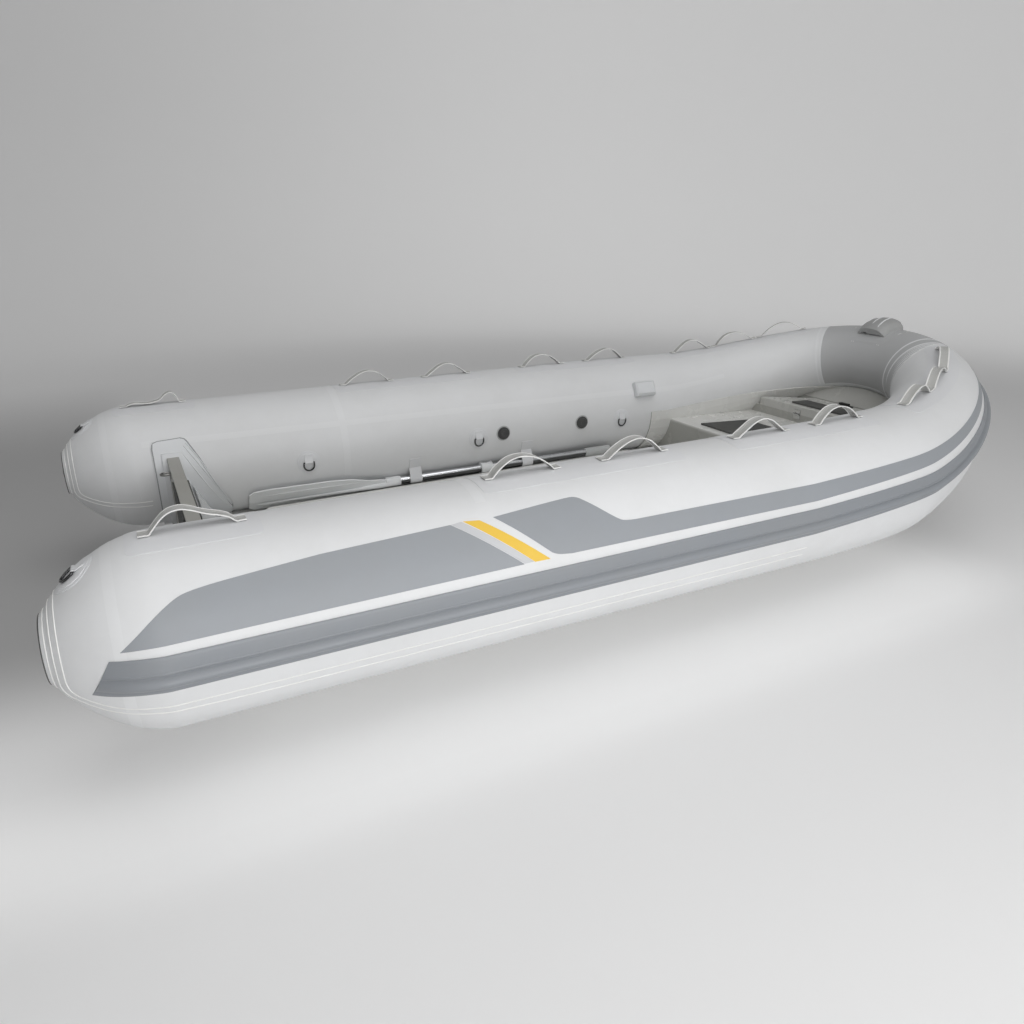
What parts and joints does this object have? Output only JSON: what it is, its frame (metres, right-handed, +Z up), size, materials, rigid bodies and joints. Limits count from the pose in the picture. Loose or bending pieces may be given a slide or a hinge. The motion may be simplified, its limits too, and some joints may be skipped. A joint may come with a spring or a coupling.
{
  "type": "rigid inflatable boat",
  "caption": "Rigid inflatable boat: U-shaped air tube with grab loops and rub strake, moulded V hull, deck with step and bow locker, transom and stowed oars.",
  "frame": {"origin": "on the floor under the middle of the overall length and beam", "axes": "+X to the bow, +Y to port, +Z up"},
  "size_m": [3.85, 2.052, 0.892],
  "materials": {
    "cap_grey": "matte",
    "deck_moulding": "gelcoat",
    "fitting_black": "matte",
    "guard_black": "matte",
    "handle_moulding": "matte",
    "holder_moulding": "satin",
    "hull_moulding": "gelcoat",
    "oar_aluminium": "polished",
    "oar_plastic": "satin",
    "pad_dark": "matte",
    "patch_fabric": "satin coated fabric",
    "ring_fitting": "brushed",
    "stainless": "brushed",
    "strake_rubber": "matte",
    "transom_grey": "painted",
    "tube_fabric": "satin coated fabric",
    "webbing": "woven"
  },
  "bodies": {
    "boat": {"bow_eye": "ring_fitting", "bow_handle": "handle_moulding", "bow_handle_patch": "patch_fabric", "deck_liner": "deck_moulding", "end_cap_port": "cap_grey", "end_cap_stbd": "cap_grey", "engine_pads": "pad_dark", "grab_loops_port": "webbing", "grab_loops_stbd": "webbing", "hull_bottom": "hull_moulding", "inner_rings_port": "ring_fitting", "inner_rings_stbd": "ring_fitting", "keel_guard": "guard_black", "lid_hinges_lower": "stainless", "loop_patches_port": "patch_fabric", "loop_patches_stbd": "patch_fabric", "oar_blade_port": "oar_plastic", "oar_blade_stbd": "oar_plastic", "oar_collar_port": "oar_plastic", "oar_collar_stbd": "oar_plastic", "oar_grip_port": "oar_plastic", "oar_grip_stbd": "oar_plastic", "oar_shaft_port": "oar_aluminium", "oar_shaft_stbd": "oar_aluminium", "oar_straps_port": "webbing", "oar_straps_stbd": "webbing", "rub_strake_bow": "strake_rubber", "rub_strake_port": "strake_rubber", "rub_strake_stbd": "strake_rubber", "seat_mount_port": "patch_fabric", "seat_mount_stbd": "patch_fabric", "step_pad": "pad_dark", "stern_cone_port": "tube_fabric", "stern_cone_stbd": "tube_fabric", "stern_ring_port": "ring_fitting", "stern_ring_stbd": "ring_fitting", "transom_board": "transom_grey", "transom_eyes": "stainless", "transom_holder_port": "holder_moulding", "transom_holder_stbd": "holder_moulding", "tube_bow": "tube_fabric", "tube_port": "tube_fabric", "tube_stbd": "tube_fabric", "valves_port": "fitting_black", "valves_stbd": "fitting_black"},
    "locker_lid": {"bow_locker_lid": "deck_moulding", "lid_pad": "pad_dark", "lid_latch": "fitting_black", "lid_hinges_upper": "stainless"}
  },
  "joints": [
    {"name": "locker_lid_hinge", "type": "hinge", "parent": "boat", "child": "locker_lid", "pos_m": [1.3515, 0, 0.422], "axis": [0, -1, 0], "range_deg": [0, 100]}
  ]
}
